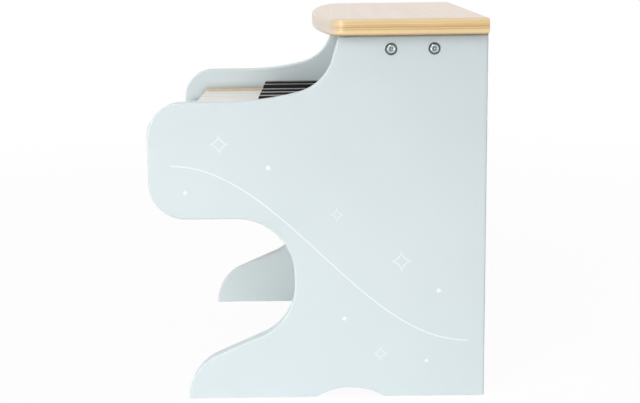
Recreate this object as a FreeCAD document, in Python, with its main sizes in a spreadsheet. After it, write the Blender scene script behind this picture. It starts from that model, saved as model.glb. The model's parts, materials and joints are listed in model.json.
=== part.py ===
import FreeCAD, Part
import math
import os
import re
from types import SimpleNamespace

# Toy upright piano: two cut-out side panels, a natural wood lid, keys on one rod,
# and hammers under a row of tone bars. Millimetres, +Z up, the player sits at -Y,
# +X is the player's right. The origin is on the floor under the middle of the case.

# Driving dimensions. A name that ends in front or back is a distance behind the front
# edge of the keyboard arms.
SIZES = {
    # Case
    "case_depth": 250.0,
    "panel_height": 274.0,
    "panel_thickness": 12.0,
    "panel_edge_radius": 1.6,
    "arm_drop": 47.5,
    "arm_height": 86.9,
    "arm_upper_radius": 26.0,
    "arm_lower_radius": 27.0,
    "top_depth": 108.5,
    "knee_back": 107.0,
    "knee_radius": 42.0,
    "foot_front": 25.0,
    "foot_radius": 37.0,
    "arch_width": 52.0,
    "arch_rise": 7.4,
    "arch_centre_front": 148.0,
    "lid_nose": 19.9,
    "lid_bow": 15.0,
    "lid_thickness": 12.0,
    "lid_overhang": 5.0,
    "lid_corner_radius": 12.0,
    "lid_edge_radius": 2.4,
    "brace_thickness": 20.0,
    "brace_depth": 60.0,
    "brace_gap": 10.2,
    "fascia_setback": 5.5,
    "fascia_thickness": 8.0,
    "fascia_clearance": 6.0,
    "board_edge_radius": 1.2,
    "kick_setback": 5.0,
    "kick_thickness": 8.0,
    "skirt_gap": 9.0,
    "back_thickness": 6.0,
    # Side bolts, barrel nuts and lid screws
    "bolt_spacing": 31.3,
    "bolt_drop": 10.0,
    "bolt_radius": 2.5,
    "bolt_gap": 0.2,
    "bolt_reach": 24.0,
    "bolt_head_radius": 4.1,
    "bolt_crown_radius": 3.0,
    "bolt_crown_height": 1.2,
    "bolt_recess_depth": 1.2,
    "bolt_recess_gap": 0.4,
    "socket_radius": 1.7,
    "socket_depth": 1.6,
    "barrel_radius": 4.0,
    "barrel_length": 14.0,
    "barrel_gap": 0.1,
    "thread_gap": 0.05,
    "barrel_inset": 18.0,
    "screw_radius": 1.75,
    "screw_gap": 0.1,
    "screw_head_radius": 3.4,
    "screw_head_height": 2.4,
    "screw_bite": 8.0,
    "screw_span": 120.0,
    "screw_row_spacing": 36.0,
    # Keyboard
    "white_pitch": 22.0,
    "key_gap": 0.6,
    "key_thickness": 12.0,
    "key_sink": 19.5,
    "white_head_depth": 55.0,
    "black_notch_gap": 1.2,
    "black_width": 11.0,
    "black_crest_width": 8.6,
    "black_rise": 10.5,
    "black_slope": 3.0,
    "black_cap_gap": 7.0,
    "key_edge_radius": 1.2,
    "rod_front": 110.0,
    "rod_radius": 2.0,
    "rod_gap": 0.05,
    "rod_socket_depth": 8.0,
    "rod_end_gap": 0.5,
    "cheek_width": 5.0,
    "cheek_gap": 0.5,
    "cheek_rise": 1.5,
    "cheek_reach": 35.0,
    "bed_drop": 27.0,
    "bed_thickness": 12.0,
    "bed_back_gap": 24.0,
    "slip_front": 6.0,
    "slip_thickness": 10.0,
    "slip_height": 42.0,
    "slip_drop": 9.0,
    "slip_gap": 3.0,
    "stop_felt_inset": 1.0,
    "stop_felt_depth": 12.0,
    "stop_gap": 0.4,
    "rest_inset": 18.0,
    "rest_depth": 14.0,
    "rest_felt_thickness": 3.7,
    "rest_gap": 0.3,
    # Hammers
    "hammer_rod_inset": 12.0,
    "hammer_rod_radius": 1.5,
    "hammer_drive": 24.0,
    "hammer_hub_radius": 4.5,
    "hammer_gap": 0.9,
    "hammer_rest_gap": 0.5,
    "hammer_shank_width": 7.0,
    "hammer_shank_height": 5.6,
    "hammer_tip": 4.0,
    "hammer_rise": 5.0,
    "hammer_head_radius": 5.0,
    "hammer_head_width": 8.0,
    "hammer_head_gap": 1.0,
    "strike_gap": 0.4,
    # Tone bars
    "tone_front_gap": 3.0,
    "tone_back_gap": 10.0,
    "tone_bar_gap": 3.3,
    "tone_bar_thickness": 2.5,
    "tone_rail_depth": 8.0,
    "tone_rail_height": 10.0,
    "tone_felt_thickness": 2.0,
    "tone_pin_radius": 0.8,
    "tone_pin_gap": 0.3,
    "tone_pin_stand": 3.0,
    "tone_pin_bite": 6.0,
    # How far a cutting tool passes the face that it opens
    "overrun": 2.0,
}

# Angles in degrees, counts, and shares of the sizes that they follow
LEG_ANGLE = 23.8
SWEEP_ANGLE = 14.0
BROW_ANGLE = 75.0
KEY_DIP_ANGLE = 5.0
WHITE_COUNT = 11
KNEE_ROUND_SHARE = 0.83
ARM_FLAT_SHARE = 0.2934
BROW_STRAIGHT_SHARE = 0.348
TAIL_PITCH_SHARE = 0.56
TONE_SHORT_SHARE = 0.66
TONE_RAIL_SHARE = 0.5

# Each black key stands after the white key of this number, shifted by a share of the pitch
BLACK_SHIFT_SHARES = {0: -0.09, 1: 0.09, 3: -0.12, 4: 0.0, 5: 0.12, 7: -0.09, 8: 0.09}

# Sizes and places that follow from the driving ones. Heights are above the floor.
PLACES = {
    # Case
    "key_span": f"{WHITE_COUNT} * white_pitch",
    "inner_width": "key_span + 2 * (cheek_gap + cheek_width)",
    "arm_top": "panel_height - arm_drop",
    "arm_underside": "arm_top - arm_height",
    "brow_front": "case_depth - top_depth",
    "lid_front": "brow_front - lid_nose",
    "lid_width": "inner_width + 2 * (panel_thickness + lid_overhang)",
    "lid_bow_radius": "lid_bow / 2 + lid_width * lid_width / (8 * lid_bow)",
    "fascia_front": "brow_front + fascia_setback",
    "fascia_back": "fascia_front + fascia_thickness",
    "back_face": "case_depth - back_thickness",
    "brace_front": "fascia_back + brace_gap",
    "brace_centre": "brace_front + brace_depth / 2",
    "brace_bottom": "panel_height - brace_thickness",
    "bolt_height": "panel_height - bolt_drop",
    # Keyboard
    "white_top": "arm_top - key_sink",
    "key_bottom": "white_top - key_thickness",
    "rod_height": "white_top - key_thickness / 2",
    "white_front": "slip_front + slip_thickness + slip_gap",
    "black_front": "white_front + white_head_depth",
    "black_cap_length": "fascia_front - black_cap_gap - black_front",
    "bed_front": "slip_front + slip_thickness",
    "bed_top": "white_top - bed_drop",
    "bed_bottom": "bed_top - bed_thickness",
    "fascia_bottom": "white_top + fascia_clearance",
    "slip_bottom": "white_top - slip_drop - slip_height",
    "front_drop": f"(rod_front - white_front) * sin({KEY_DIP_ANGLE})",
    "dip_drop": f"front_drop + key_thickness / 2 * cos({KEY_DIP_ANGLE})",
    "rest_felt_bottom": "key_bottom - rest_gap - rest_felt_thickness",
    # Hammers and tone bars
    "hammer_rod_front": "back_face - hammer_rod_inset",
    "hammer_height": "white_top + hammer_rest_gap + hammer_hub_radius",
    "tail_back": "hammer_rod_front - hammer_drive",
    "hammer_swing": f"{KEY_DIP_ANGLE} * (tail_back - rod_front) / hammer_drive",
    "tail_pitch": f"{TAIL_PITCH_SHARE} * white_pitch",
    "hammer_hub_width": "tail_pitch - hammer_gap",
    "tone_bar_width": "tail_pitch - tone_bar_gap",
    "tone_bar_long": "back_face - tone_back_gap - fascia_back - tone_front_gap",
    "tone_bar_short": f"{TONE_SHORT_SHARE} * tone_bar_long",
    "tone_centre": "fascia_back + tone_front_gap + tone_bar_long / 2",
    "tone_rail_spacing": f"{TONE_RAIL_SHARE} * tone_bar_long",
    "front_rail_back": "tone_centre - tone_rail_spacing / 2 + tone_rail_depth / 2",
    "hammer_head_front": "front_rail_back + hammer_head_gap + hammer_head_radius",
    "hammer_reach": "hammer_rod_front - hammer_head_front",
    "head_lift": "hammer_reach * sin(hammer_swing) + hammer_rise * cos(hammer_swing)",
    "strike_height": "hammer_height + head_lift + hammer_head_radius + strike_gap",
    "felt_top": "strike_height - tone_felt_thickness",
}


def cells(expression, named=("Sizes", "Places")):
    """Point each size or place in an expression at its cell, in the sheets that have to be named."""

    def swap(found):
        word = found.group()
        if word in SIZES and "Sizes" in named:
            return f"Sizes.{word}"
        return f"Places.{word}" if word in PLACES and "Places" in named else word

    return re.sub(r"[a-z_]+", swap, expression)


doc = FreeCAD.newDocument("toy_piano")
size = SimpleNamespace()


def fill_sheet(name, rows):
    """Write a sheet of named cells and keep their numbers in size."""
    sheet = doc.addObject("Spreadsheet::Sheet", name)
    for row, (alias, content) in enumerate(rows.items(), 1):
        sheet.set(f"A{row}", alias)
        sheet.set(f"B{row}", content)
        sheet.setAlias(f"B{row}", alias)
    doc.recompute()
    for alias in rows:
        setattr(size, alias, float(sheet.get(alias)))


fill_sheet("Sizes", {alias: str(number) for alias, number in SIZES.items()})
fill_sheet("Places", {alias: f"={cells(sum_of, ['Sizes'])}" for alias, sum_of in PLACES.items()})

nodes = []


def bind(piece, field, expression):
    piece.setExpression(field, cells(expression))


def add(kind, label):
    piece = doc.addObject(kind, label)
    piece.Label = label
    return piece


def place(piece, x, front, z):
    """Set a piece's corner or axis end: front is counted from the arms' front edge."""
    bind(piece, "Placement.Base.x", x)
    bind(piece, "Placement.Base.y", f"{front} - case_depth / 2")
    bind(piece, "Placement.Base.z", z)


def turned(piece, axis, angle):
    piece.Placement = FreeCAD.Placement(FreeCAD.Vector(), FreeCAD.Rotation(axis, angle))


def block(label, x, front, z, width, depth, height):
    piece = add("Part::Box", label)
    bind(piece, "Length", width)
    bind(piece, "Width", depth)
    bind(piece, "Height", height)
    place(piece, x, front, z)
    return piece


def spanning(label, span, front, z, depth, height):
    """A board across the case, as long as the named span and centred."""
    return block(label, f"-{span} / 2", front, z, span, depth, height)


def cylinder(label, axis, x, front, z, radius, length):
    """A round bar from the given end: axis X runs to the right, axis Z runs up."""
    piece = add("Part::Cylinder", label)
    if axis == "X":
        turned(piece, FreeCAD.Vector(0, 1, 0), 90)
    bind(piece, "Radius", radius)
    bind(piece, "Height", length)
    place(piece, x, front, z)
    return piece


def joined(label, pieces):
    piece = add("Part::MultiFuse", label)
    piece.Shapes = pieces
    piece.Refine = True
    return piece


def group(label, pieces):
    piece = add("Part::Compound", label)
    piece.Links = pieces
    return piece


def drilled(label, base, tools):
    piece = add("Part::Cut", label)
    piece.Base = base
    piece.Tool = tools[0] if len(tools) == 1 else group(f"{label}_tools", tools)
    return piece


def rounded(label, base, radius, wanted):
    """Round the edges of a piece that the given test picks."""
    doc.recompute()
    picked = [n for n, edge in enumerate(base.Shape.Edges, 1) if wanted(edge)]
    piece = add("Part::Fillet", label)
    piece.Base = base
    piece.Edges = [(n, radius, radius) for n in picked]
    return piece


def node(piece):
    nodes.append(piece)
    return piece


def depth_at(front):
    """Y of a distance behind the arms' front edge."""
    return front - size.case_depth / 2


def level(edge, height):
    """True where an edge lies wholly at one height."""
    near = size.key_gap * size.rod_gap
    return abs(edge.BoundBox.ZMin - height) < near and abs(edge.BoundBox.ZMax - height) < near


def across(side, near, far):
    """Start and length along X of a span, both ends counted outwards from a panel's inner face."""
    start = f"inner_width / 2 + ({near})" if side > 0 else f"-(inner_width / 2 + ({far}))"
    return start, f"({far}) - ({near})"


# Side panels


def panel_outline():
    """The side panel's outline as lines and arcs, from the foot round the knee and over the arm."""
    edges = []
    slope, sweep, brow = (math.radians(a) for a in (LEG_ANGLE, SWEEP_ANGLE, BROW_ANGLE))

    def spot(front, height):
        return FreeCAD.Vector(depth_at(front), height, 0)

    def line(start, end):
        edges.append(Part.LineSegment(spot(*start), spot(*end)))

    def arc(centre, radius, first, last):
        """An arc about a centre between two directions, and its two ends."""
        spread = [first, (first + last) / 2, last]
        ends = [
            (centre[0] + radius * math.cos(a), centre[1] + radius * math.sin(a)) for a in spread
        ]
        edges.append(Part.Arc(*(spot(*end) for end in ends)))
        return ends[0], ends[2]

    quarter = math.pi / 2
    foot_centre = (size.foot_front + size.foot_radius, 0)
    foot, nose = arc(foot_centre, size.foot_radius, math.pi, quarter + slope)
    shin_front = size.knee_back - size.knee_radius * (1 - math.sin(slope))
    shin_height = nose[1] + math.tan(slope) * (shin_front - nose[0])
    low_centre = (size.knee_back - size.knee_radius, shin_height + size.knee_radius * math.cos(slope))
    shin, knee_low = arc(low_centre, size.knee_radius, slope - quarter, 0)
    line(nose, shin)
    bend = KNEE_ROUND_SHARE * min(size.arm_underside - knee_low[1], size.knee_back - size.arm_lower_radius)
    high_centre = (size.knee_back - bend, size.arm_underside - bend)
    knee_high, under_back = arc(high_centre, bend, 0, quarter)
    line(knee_low, knee_high)
    low = size.arm_lower_radius
    under_front, chin = arc((low, size.arm_underside + low), low, -quarter, -math.pi)
    line(under_back, under_front)
    high = size.arm_upper_radius
    forehead, arm_front = arc((high, size.arm_top - high), high, math.pi, quarter)
    line(chin, forehead)

    # The two arcs from the arm's flat top up to the brow share out the run and the rise between them
    straight = BROW_STRAIGHT_SHARE * size.arm_drop
    start = high + ARM_FLAT_SHARE * (size.brow_front - high)
    run = size.brow_front - start - straight * math.cos(brow)
    rise = size.arm_drop - straight * math.sin(brow)
    wide_run, tight_run = math.sin(sweep), math.sin(brow) - math.sin(sweep)
    wide_rise, tight_rise = 1 - math.cos(sweep), math.cos(sweep) - math.cos(brow)
    both = wide_run * tight_rise - wide_rise * tight_run
    wide = (run * tight_rise - rise * tight_run) / both
    tight = (rise * wide_run - run * wide_rise) / both
    arm_back, sweep_end = arc((start, size.arm_top + wide), wide, -quarter, sweep - quarter)
    line(arm_front, arm_back)
    toward = (-math.sin(sweep), math.cos(sweep))
    brow_centre = (sweep_end[0] + tight * toward[0], sweep_end[1] + tight * toward[1])
    brow_top = arc(brow_centre, tight, sweep - quarter, brow - quarter)[1]
    top_front, top_back = (size.brow_front, size.panel_height), (size.case_depth, size.panel_height)
    heel = (size.case_depth, 0)
    line(brow_top, top_front)
    line(top_front, top_back)
    line(top_back, heel)
    half = size.arch_width / 2
    arch_back, arch_front = (size.arch_centre_front + half, 0), (size.arch_centre_front - half, 0)
    arch_crown = (size.arch_centre_front, size.arch_rise)
    line(heel, arch_back)
    edges.append(Part.Arc(spot(*arch_back), spot(*arch_crown), spot(*arch_front)))
    line(arch_front, foot)
    return edges


def bolt_places():
    """Distances behind the arms' front edge of a side's two bolts."""
    return [f"(brace_centre {sign} bolt_spacing / 2)" for sign in "-+"]


def side_panel(label, side):
    body = add("PartDesign::Body", f"{label}_board")
    sketch = body.newObject("Sketcher::SketchObject", f"{label}_outline")
    plane = next(p for p in body.Origin.OriginFeatures if p.Role == "YZ_Plane")
    sketch.AttachmentSupport = [(plane, "")]
    sketch.MapMode = "FlatFace"
    sketch.addGeometry(panel_outline(), False)
    pad = body.newObject("PartDesign::Pad", f"{label}_pad")
    pad.Profile = sketch
    bind(pad, "Length", "panel_thickness")
    doc.recompute()
    rims = [
        f"Edge{n}" for n, edge in enumerate(pad.Shape.Edges, 1)
        if edge.BoundBox.XLength < size.overrun and edge.BoundBox.ZMax > size.arch_rise + size.overrun
    ]
    rounds = body.newObject("PartDesign::Fillet", f"{label}_rounds")
    rounds.Base = (pad, rims)
    bind(rounds, "Radius", "panel_edge_radius")
    bind(body, "Placement.Base.x", across(side, "0", "panel_thickness")[0])
    tools = []
    for place_number, front in enumerate(bolt_places(), 1):
        x, length = across(side, "-overrun", "panel_thickness + overrun")
        name = f"{label}_bolt_hole_{place_number}"
        tools.append(cylinder(name, "X", x, front, "bolt_height", "bolt_radius + bolt_gap", length))
        x, length = across(side, "panel_thickness - bolt_recess_depth", "panel_thickness + overrun")
        radius = "bolt_head_radius + bolt_recess_gap"
        tools.append(cylinder(f"{name}_recess", "X", x, front, "bolt_height", radius, length))
    x, length = across(side, "-overrun", "rod_socket_depth")
    name = f"{label}_key_rod_socket"
    tools.append(cylinder(name, "X", x, "rod_front", "rod_height", "rod_radius + rod_gap", length))
    name, radius = f"{label}_hammer_rod_socket", "hammer_rod_radius + rod_gap"
    tools.append(cylinder(name, "X", x, "hammer_rod_front", "hammer_height", radius, length))
    return node(drilled(label, body, tools))


# Lid, brace and their fasteners


def screw_places():
    """X and distance from the front of the four lid screws."""
    rows = [f"(brace_centre {sign} screw_row_spacing / 2)" for sign in "-+"]
    return [(f"{sign}screw_span / 2", row) for sign in ("-", "") for row in rows]


def lid():
    """The lid, whose front edge bows forward between two rounded corners."""
    depth, low = "case_depth - lid_front", "panel_height - overrun"
    blank = spanning("lid_blank", "lid_width", "lid_front", "panel_height", depth, "lid_thickness")
    centre, tall = "lid_front + lid_bow_radius", "lid_thickness + 2 * overrun"
    bow = cylinder("lid_bow_disc", "Z", "0", centre, low, "lid_bow_radius", tall)
    bowed = add("Part::Common", "lid_bowed")
    bowed.Base, bowed.Tool = blank, bow
    middle = depth_at((size.lid_front + size.case_depth) / 2)

    def front_corner(edge):
        box = edge.BoundBox
        return box.ZLength > size.lid_thickness / 2 and box.YMax < middle

    corners = rounded("lid_corners", bowed, size.lid_corner_radius, front_corner)
    top = size.panel_height + size.lid_thickness

    def rim(edge):
        return level(edge, top) or level(edge, size.panel_height)

    board = rounded("lid_board", corners, size.lid_edge_radius, rim)
    deep = "screw_bite + screw_gap + overrun"
    tools = [
        cylinder(f"lid_pilot_{n}", "Z", x, row, low, "screw_radius + screw_gap", deep)
        for n, (x, row) in enumerate(screw_places(), 1)
    ]
    node(drilled("lid", board, tools))


def top_brace():
    thick = "brace_thickness"
    board = spanning("brace_board", "inner_width", "brace_front", "brace_bottom", "brace_depth", thick)
    low = "brace_bottom - overrun"
    tools = []
    for side, mark in ((1, "right"), (-1, "left")):
        for number, row in enumerate(bolt_places(), 1):
            x, length = across(side, "-(bolt_reach + overrun)", "overrun")
            name = f"brace_bolt_hole_{mark}_{number}"
            tools.append(cylinder(name, "X", x, row, "bolt_height", "bolt_radius + bolt_gap", length))
            centre = across(side, "-barrel_inset", "-barrel_inset")[0]
            tall = f"bolt_height + barrel_length / 2 + barrel_gap - ({low})"
            name, radius = f"brace_barrel_hole_{mark}_{number}", "barrel_radius + barrel_gap"
            tools.append(cylinder(name, "Z", centre, row, low, radius, tall))
    for number, (x, row) in enumerate(screw_places(), 1):
        name, radius = f"brace_screw_hole_{number}", "screw_radius + screw_gap"
        tools.append(cylinder(name, "Z", x, row, low, radius, "brace_thickness + 2 * overrun"))
        name, radius = f"brace_screw_seat_{number}", "screw_head_radius + screw_gap"
        tools.append(cylinder(name, "Z", x, row, low, radius, "screw_head_height + overrun"))
    node(drilled("top_brace", board, tools))


def bolt(name, side, front):
    """A side bolt: shank, low round head with a crowned rim, and a six-sided socket."""
    seat = "panel_thickness - bolt_recess_depth"
    x, length = across(side, "-bolt_reach", seat)
    shank = cylinder(f"{name}_shank", "X", x, front, "bolt_height", "bolt_radius", length)
    x, length = across(side, seat, "panel_thickness")
    head = cylinder(f"{name}_head", "X", x, front, "bolt_height", "bolt_head_radius", length)
    crown = add("Part::Cone", f"{name}_crown")
    turned(crown, FreeCAD.Vector(0, 1, 0), 90 * side)
    bind(crown, "Radius1", "bolt_head_radius")
    bind(crown, "Radius2", "bolt_crown_radius")
    bind(crown, "Height", "bolt_crown_height")
    sign = "" if side > 0 else "-"
    place(crown, f"{sign}(inner_width / 2 + panel_thickness)", front, "bolt_height")
    socket = add("Part::Prism", f"{name}_socket")
    turned(socket, FreeCAD.Vector(0, 1, 0), 90)
    socket.Polygon = 6
    bind(socket, "Circumradius", "socket_radius")
    face = "panel_thickness + bolt_crown_height"
    x, length = across(side, f"{face} - socket_depth", f"{face} + overrun")
    bind(socket, "Height", length)
    place(socket, x, front, "bolt_height")
    return drilled(name, joined(f"{name}_blank", [shank, head, crown]), [socket])


def barrel_nut(name, side, row):
    """A round bar that stands in the brace, with a cross hole for its bolt."""
    centre = across(side, "-barrel_inset", "-barrel_inset")[0]
    foot = "bolt_height - barrel_length / 2"
    round_bar = cylinder(f"{name}_bar", "Z", centre, row, foot, "barrel_radius", "barrel_length")
    x, length = across(side, "-(barrel_inset + 2 * barrel_radius)", "2 * barrel_radius - barrel_inset")
    radius = "bolt_radius + thread_gap"
    thread = cylinder(f"{name}_thread", "X", x, row, "bolt_height", radius, length)
    return drilled(name, round_bar, [thread])


def lid_screw(name, x, row):
    length, tall = "brace_thickness + screw_bite", "screw_head_height"
    shank = cylinder(f"{name}_shank", "Z", x, row, "brace_bottom", "screw_radius", length)
    head = cylinder(f"{name}_head", "Z", x, row, "brace_bottom", "screw_head_radius", tall)
    return joined(name, [shank, head])


def fasteners():
    bolts, barrels = [], []
    for side, mark in ((1, "right"), (-1, "left")):
        for number, row in enumerate(bolt_places(), 1):
            bolts.append(bolt(f"bolt_{mark}_{number}", side, row))
            barrels.append(barrel_nut(f"barrel_{mark}_{number}", side, row))
    screws = [lid_screw(f"screw_{number}", x, row) for number, (x, row) in enumerate(screw_places(), 1)]
    node(group("side_bolts", bolts))
    node(group("barrel_nuts", barrels))
    node(group("lid_screws", screws))


# Boards between the panels


def eased_board(label, front, z, depth, height):
    """A board across the case, its long edges a little rounded."""
    blank = spanning(f"{label}_blank", "inner_width", front, z, depth, height)

    def long_edge(edge):
        return edge.BoundBox.XLength > size.case_depth / 2

    return node(rounded(label, blank, size.board_edge_radius, long_edge))


def case_boards():
    tall = "panel_height - fascia_bottom"
    eased_board("fascia_board", "fascia_front", "fascia_bottom", "fascia_thickness", tall)
    eased_board("key_slip", "slip_front", "slip_bottom", "slip_thickness", "slip_height")
    front = "knee_back + kick_setback"
    eased_board("kick_board", front, "skirt_gap", "kick_thickness", "bed_bottom - skirt_gap")
    eased_board("back_panel", "back_face", "skirt_gap", "back_thickness", "panel_height - skirt_gap")
    depth = "back_face - bed_back_gap - bed_front"
    node(spanning("key_bed", "inner_width", "bed_front", "bed_bottom", depth, "bed_thickness"))


# Keyboard


def keyboard_felts():
    """The felt that stops the pressed keys, and the rail and felt that their tails rest on."""
    front, tall = "white_front + stop_felt_inset", "rod_height - dip_drop - stop_gap - bed_top"
    node(spanning("front_stop_felt", "key_span", front, "bed_top", "stop_felt_depth", tall))
    front, tall = "tail_back - rest_inset", "rest_felt_bottom - bed_top"
    node(spanning("rear_rest_rail", "key_span", front, "bed_top", "rest_depth", tall))
    tall = "rest_felt_thickness"
    node(spanning("rear_rest_felt", "key_span", front, "rest_felt_bottom", "rest_depth", tall))


def through_rod(label, front, height, radius):
    """A steel rod across the case, held in a blind socket in each panel."""
    reach = "(inner_width / 2 + rod_socket_depth - rod_end_gap)"
    node(cylinder(label, "X", f"-{reach}", front, height, radius, f"2 * {reach}"))


def key_hole(name):
    """A cutter along the key rod, right across the case."""
    x, length = "-(inner_width / 2 + overrun)", "inner_width + 2 * overrun"
    return cylinder(f"{name}_hole", "X", x, "rod_front", "rod_height", "rod_radius + rod_gap", length)


def key_cheeks():
    for side, mark in ((1, "right"), (-1, "left")):
        label = f"key_cheek_{mark}"
        x, width = across(side, "-cheek_width", "0")
        depth = "rod_front + cheek_reach - white_front"
        tall = "white_top + cheek_rise - bed_top"
        strip = block(f"{label}_strip", x, "white_front", "bed_top", width, depth, tall)
        node(drilled(label, strip, [key_hole(label)]))


def key_edges(number):
    """Left and right edges of a white key's tail, from the first key's left edge."""
    left, right = f"{number} * white_pitch + key_gap / 2", f"{number + 1} * white_pitch - key_gap / 2"
    if number - 1 in BLACK_SHIFT_SHARES:
        left = f"{number + BLACK_SHIFT_SHARES[number - 1]} * white_pitch + black_width / 2 + key_gap"
    if number in BLACK_SHIFT_SHARES:
        right = f"{number + 1 + BLACK_SHIFT_SHARES[number]} * white_pitch - black_width / 2 - key_gap"
    return left, right


def white_key(label, number):
    """A white key: broad head, and a tail that passes between the black keys."""
    origin = "-key_span / 2"
    x, width = f"{origin} + {number} * white_pitch + key_gap / 2", "white_pitch - key_gap"
    depth, tall = "white_head_depth - black_notch_gap", "key_thickness"
    head = block(f"{label}_head", x, "white_front", "key_bottom", width, depth, tall)
    left, right = key_edges(number)
    x, width, depth = f"{origin} + {left}", f"{right} - ({left})", "tail_back - white_front"
    tail = block(f"{label}_tail", x, "white_front", "key_bottom", width, depth, tall)
    lever = joined(f"{label}_lever", [head, tail])
    front = depth_at(size.white_front)

    def front_rim(edge):
        return level(edge, size.white_top) and edge.BoundBox.YMin < front + size.key_gap

    board = rounded(f"{label}_board", lever, size.key_edge_radius, front_rim)
    node(drilled(label, board, [key_hole(label)]))


def black_key(label, number):
    """A black key: a bar as deep as the white keys with a sloped cap on it."""
    centre = f"{number + 1 + BLACK_SHIFT_SHARES[number]} * white_pitch - key_span / 2"
    x, depth = f"{centre} - black_width / 2", "tail_back - black_front"
    bar = block(f"{label}_bar", x, "black_front", "key_bottom", "black_width", depth, "key_thickness")
    cap = add("Part::Wedge", f"{label}_cap")
    turned(cap, FreeCAD.Vector(1, 0, 0), 90)
    inset = "(black_width - black_crest_width) / 2"
    corners = {
        "Xmin": "0", "Ymin": "0", "Zmin": "0", "X2min": inset, "Z2min": "0",
        "Xmax": "black_width", "Ymax": "black_rise", "Zmax": "black_cap_length",
        "X2max": f"black_width - {inset}", "Z2max": "black_cap_length - black_slope",
    }
    for corner, expression in corners.items():
        bind(cap, corner, expression)
    place(cap, x, "black_front + black_cap_length", "white_top")
    lever = joined(f"{label}_lever", [bar, cap])
    crest = size.white_top + size.black_rise
    board = rounded(f"{label}_board", lever, size.key_edge_radius, lambda edge: level(edge, crest))
    node(drilled(label, board, [key_hole(label)]))
    return centre


def keys():
    """All keys from left to right. Gives the X of each key's tail, where its hammer stands."""
    tails, black_number = [], 0
    for number in range(WHITE_COUNT):
        white_key(f"white_key_{number + 1:02d}", number)
        left, right = key_edges(number)
        last = number + 1 == WHITE_COUNT
        middle = f"{left} + hammer_hub_width / 2" if last else f"({left} + {right}) / 2"
        tails.append(f"({middle} - key_span / 2)")
        if number in BLACK_SHIFT_SHARES:
            black_number += 1
            tails.append(f"({black_key(f'black_key_{black_number:02d}', number)})")
    return tails


# Hammers and tone bars


def hammer(label, centre):
    """A hammer: hub on the rod, flat shank resting just over the key's tail, round head."""
    axle, z = "hammer_rod_front", "hammer_height"
    x, width = f"{centre} - hammer_hub_width / 2", "hammer_hub_width"
    hub = cylinder(f"{label}_hub", "X", x, axle, z, "hammer_hub_radius", width)
    x, width = f"{centre} - hammer_shank_width / 2", "hammer_shank_width"
    front, depth = "hammer_head_front - hammer_tip", "hammer_reach + hammer_tip"
    low, tall = "hammer_height - hammer_hub_radius", "hammer_shank_height"
    shank = block(f"{label}_shank", x, front, low, width, depth, tall)
    x, width = f"{centre} - hammer_head_width / 2", "hammer_head_width"
    front, high = "hammer_head_front", "hammer_height + hammer_rise"
    head = cylinder(f"{label}_head", "X", x, front, high, "hammer_head_radius", width)
    x, width = f"{centre} - hammer_hub_width", "2 * hammer_hub_width"
    hole = cylinder(f"{label}_hole", "X", x, axle, z, "hammer_rod_radius + rod_gap", width)
    node(drilled(label, joined(f"{label}_blank", [hub, shank, head]), [hole]))


def tone_bars(tails):
    """One metal bar over each hammer, shorter step by step towards the treble."""
    bars = []
    steps = len(tails) - 1
    for number, centre in enumerate(tails):
        length = f"(tone_bar_long - (tone_bar_long - tone_bar_short) * {number} / {steps})"
        x, front = f"{centre} - tone_bar_width / 2", f"tone_centre - {length} / 2"
        name, thick = f"tone_bar_{number + 1:02d}", "tone_bar_thickness"
        bars.append(block(name, x, front, "strike_height", "tone_bar_width", length, thick))
    node(group("tone_bars", bars))


def tone_rails(tails):
    """Two rails with felt tops under the bars, and the pins that keep the bars apart."""
    pins, felts = [], []
    beside = "tone_bar_width / 2 + tone_pin_gap + tone_pin_radius"
    spots = [f"{tails[0]} - ({beside})"] + [f"{centre} + {beside}" for centre in tails]
    for mark, sign in (("front", "-"), ("rear", "+")):
        row = f"(tone_centre {sign} tone_rail_spacing / 2)"
        front = f"{row} - tone_rail_depth / 2"
        foot = "felt_top - tone_pin_bite"
        tall = "tone_pin_bite + tone_felt_thickness + tone_bar_thickness + tone_pin_stand"
        row_pins = [
            cylinder(f"tone_pin_{mark}_{n:02d}", "Z", x, row, foot, "tone_pin_radius", tall)
            for n, x in enumerate(spots, 1)
        ]
        pins += row_pins
        name, low, depth = f"tone_rail_{mark}_board", "felt_top - tone_rail_height", "tone_rail_depth"
        rail = spanning(name, "inner_width", front, low, depth, "tone_rail_height")
        node(drilled(f"tone_bar_{mark}_rail", rail, row_pins))
        name, thick = f"tone_felt_{mark}_strip", "tone_felt_thickness"
        felt = spanning(name, "inner_width", front, "felt_top", depth, thick)
        felts.append(drilled(f"tone_felt_{mark}", felt, row_pins))
    node(group("tone_bar_felts", felts))
    node(group("tone_bar_pins", pins))


def check(pieces):
    """Stop if any object failed, or a piece has no sound shape."""
    failed = [p.Name for p in doc.Objects if {"Invalid", "Error"} & set(p.State)]
    failed += [p.Label for p in pieces if p.Shape.isNull() or not p.Shape.isValid()]
    if failed:
        raise RuntimeError(f"failed: {failed}")


side_panel("side_panel_left", -1)
side_panel("side_panel_right", 1)
lid()
top_brace()
fasteners()
case_boards()
keyboard_felts()
through_rod("key_rod", "rod_front", "rod_height", "rod_radius")
through_rod("hammer_rod", "hammer_rod_front", "hammer_height", "hammer_rod_radius")
key_cheeks()
key_tails = keys()
for hammer_number, tail in enumerate(key_tails, 1):
    hammer(f"hammer_{hammer_number:02d}", tail)
tone_bars(key_tails)
tone_rails(key_tails)

doc.recompute()
check(nodes)
os.makedirs("parts", exist_ok=True)
for piece in nodes:
    piece.Shape.exportStep(f"parts/{piece.Label}.step")
    solids = len(piece.Shape.Solids)
    print(f"{piece.Label}: {solids} solids, {piece.Shape.Volume / solids:.0f} mm3 each")
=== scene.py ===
import json
import math

import bmesh
import bpy
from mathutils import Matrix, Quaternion, Vector


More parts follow.
